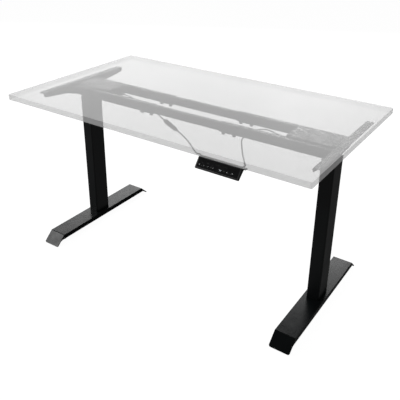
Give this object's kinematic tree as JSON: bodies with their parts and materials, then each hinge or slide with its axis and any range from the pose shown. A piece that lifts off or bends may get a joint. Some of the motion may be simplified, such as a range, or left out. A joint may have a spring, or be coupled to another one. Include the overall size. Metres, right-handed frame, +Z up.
{
  "type": "height adjustable standing desk",
  "caption": "Sit-stand desk: clear top on a bolted rail frame over motorised telescopic legs with bent plate feet, and a keypad handset under the front edge.",
  "frame": {"origin": "on the floor under the middle of the desk's outline, handset included", "axes": "+X to the right of a person sitting at the desk, +Y from that person towards the back edge, +Z up"},
  "size_m": [1.4, 0.8222, 0.765],
  "materials": {
    "powder_coat": "black powder coat, fine texture",
    "bare_steel": "turned or zinc plated steel",
    "motor_case": "die cast gearbox and drawn motor can",
    "black_plastic": "moulded, satin",
    "gloss_plastic": "polished black fascia and key caps",
    "display": "dark display window",
    "board": "lacquered circuit board",
    "nut_polymer": "natural acetal",
    "rubber": "matt black",
    "clear_top": "lightly frosted clear acrylic"
  },
  "bodies": {
    "left_base": {"foot_left": "powder_coat", "glide_collar_left": "black_plastic", "leg_outer_tube_left": "powder_coat", "leg_screws_left": "bare_steel", "push_tube_left": "bare_steel", "spindle_nut_left": "nut_polymer"},
    "right_base": {"foot_right": "powder_coat", "glide_collar_right": "black_plastic", "leg_outer_tube_right": "powder_coat", "leg_screws_right": "bare_steel", "push_tube_right": "bare_steel", "spindle_nut_right": "nut_polymer"},
    "upper_frame": {"centre_rail_back": "powder_coat", "centre_rail_front": "powder_coat", "connector_plug": "black_plastic", "connector_socket": "black_plastic", "control_board": "board", "desktop": "clear_top", "display_window": "display", "gearbox_left": "motor_case", "gearbox_right": "motor_case", "gland_left": "rubber", "gland_right": "rubber", "handset_case": "black_plastic", "handset_fascia": "gloss_plastic", "head_cover_left": "powder_coat", "head_cover_right": "powder_coat", "head_tray_left": "powder_coat", "head_tray_right": "powder_coat", "lead_control": "rubber", "lead_head_right": "rubber", "lead_motor_left": "rubber", "leg_inner_tube_left": "powder_coat", "leg_inner_tube_right": "powder_coat", "mains_inlet": "black_plastic", "motor_left": "motor_case", "motor_right": "motor_case", "rail_clamp_left_back": "powder_coat", "rail_clamp_left_front": "powder_coat", "rail_clamp_right_back": "powder_coat", "rail_clamp_right_front": "powder_coat", "rail_sleeve_left_back": "powder_coat", "rail_sleeve_left_front": "powder_coat", "rail_sleeve_right_back": "powder_coat", "rail_sleeve_right_front": "powder_coat", "side_arm_left": "powder_coat", "side_arm_right": "powder_coat"},
    "button_down_body": {"button_down": "gloss_plastic"},
    "button_one_body": {"button_one": "gloss_plastic"},
    "button_set_body": {"button_set": "gloss_plastic"},
    "button_three_body": {"button_three": "gloss_plastic"},
    "button_two_body": {"button_two": "gloss_plastic"},
    "button_up_body": {"button_up": "gloss_plastic"},
    "glide_left_back_body": {"glide_left_back": "rubber"},
    "glide_left_front_body": {"glide_left_front": "rubber"},
    "glide_right_back_body": {"glide_right_back": "rubber"},
    "glide_right_front_body": {"glide_right_front": "rubber"},
    "spindle_left_body": {"spindle_left": "bare_steel"},
    "spindle_right_body": {"spindle_right": "bare_steel"}
  },
  "joints": [
    {"name": "desk_lift", "type": "slide", "parent": "left_base", "child": "upper_frame", "axis": [0, 0, 1], "range_m": [0, 0.45]},
    {"name": "right_leg_lift", "type": "slide", "parent": "upper_frame", "child": "right_base", "axis": [0, 0, -1], "range_m": [0, 0.45]},
    {"name": "spindle_turn_left", "type": "hinge", "parent": "upper_frame", "child": "spindle_left_body", "pos_m": [-0.61, 0.0111, 0.4], "axis": [0, 0, 1], "range_deg": [0, 20260]},
    {"name": "glide_left_front_adjust", "type": "slide", "parent": "left_base", "child": "glide_left_front_body", "axis": [0, 0, -1], "range_m": [0, 0.008]},
    {"name": "glide_left_back_adjust", "type": "slide", "parent": "left_base", "child": "glide_left_back_body", "axis": [0, 0, -1], "range_m": [0, 0.008]},
    {"name": "spindle_turn_right", "type": "hinge", "parent": "upper_frame", "child": "spindle_right_body", "pos_m": [0.61, 0.0111, 0.4], "axis": [0, 0, 1], "range_deg": [0, 20260]},
    {"name": "glide_right_front_adjust", "type": "slide", "parent": "right_base", "child": "glide_right_front_body", "axis": [0, 0, -1], "range_m": [0, 0.008]},
    {"name": "glide_right_back_adjust", "type": "slide", "parent": "right_base", "child": "glide_right_back_body", "axis": [0, 0, -1], "range_m": [0, 0.008]},
    {"name": "button_down_press", "type": "slide", "parent": "upper_frame", "child": "button_down_body", "axis": [0, 0.7809, -0.6247], "range_m": [0, 0.0005], "stiffness_N_per_m": 600, "springref_m": -0.0006},
    {"name": "button_one_press", "type": "slide", "parent": "upper_frame", "child": "button_one_body", "axis": [0, 0.7809, -0.6247], "range_m": [0, 0.0005], "stiffness_N_per_m": 600, "springref_m": -0.0006},
    {"name": "button_set_press", "type": "slide", "parent": "upper_frame", "child": "button_set_body", "axis": [0, 0.7809, -0.6247], "range_m": [0, 0.0005], "stiffness_N_per_m": 600, "springref_m": -0.0006},
    {"name": "button_three_press", "type": "slide", "parent": "upper_frame", "child": "button_three_body", "axis": [0, 0.7809, -0.6247], "range_m": [0, 0.0005], "stiffness_N_per_m": 600, "springref_m": -0.0006},
    {"name": "button_two_press", "type": "slide", "parent": "upper_frame", "child": "button_two_body", "axis": [0, 0.7809, -0.6247], "range_m": [0, 0.0005], "stiffness_N_per_m": 600, "springref_m": -0.0006},
    {"name": "button_up_press", "type": "slide", "parent": "upper_frame", "child": "button_up_body", "axis": [0, 0.7809, -0.6247], "range_m": [0, 0.0005], "stiffness_N_per_m": 600, "springref_m": -0.0006}
  ],
  "couplings": [
    {"joint": "right_leg_lift", "follows": "desk_lift", "ratio": 1},
    {"joint": "spindle_turn_left", "follows": "desk_lift", "rad_per_m": 785.4},
    {"joint": "spindle_turn_right", "follows": "desk_lift", "rad_per_m": 785.4}
  ]
}
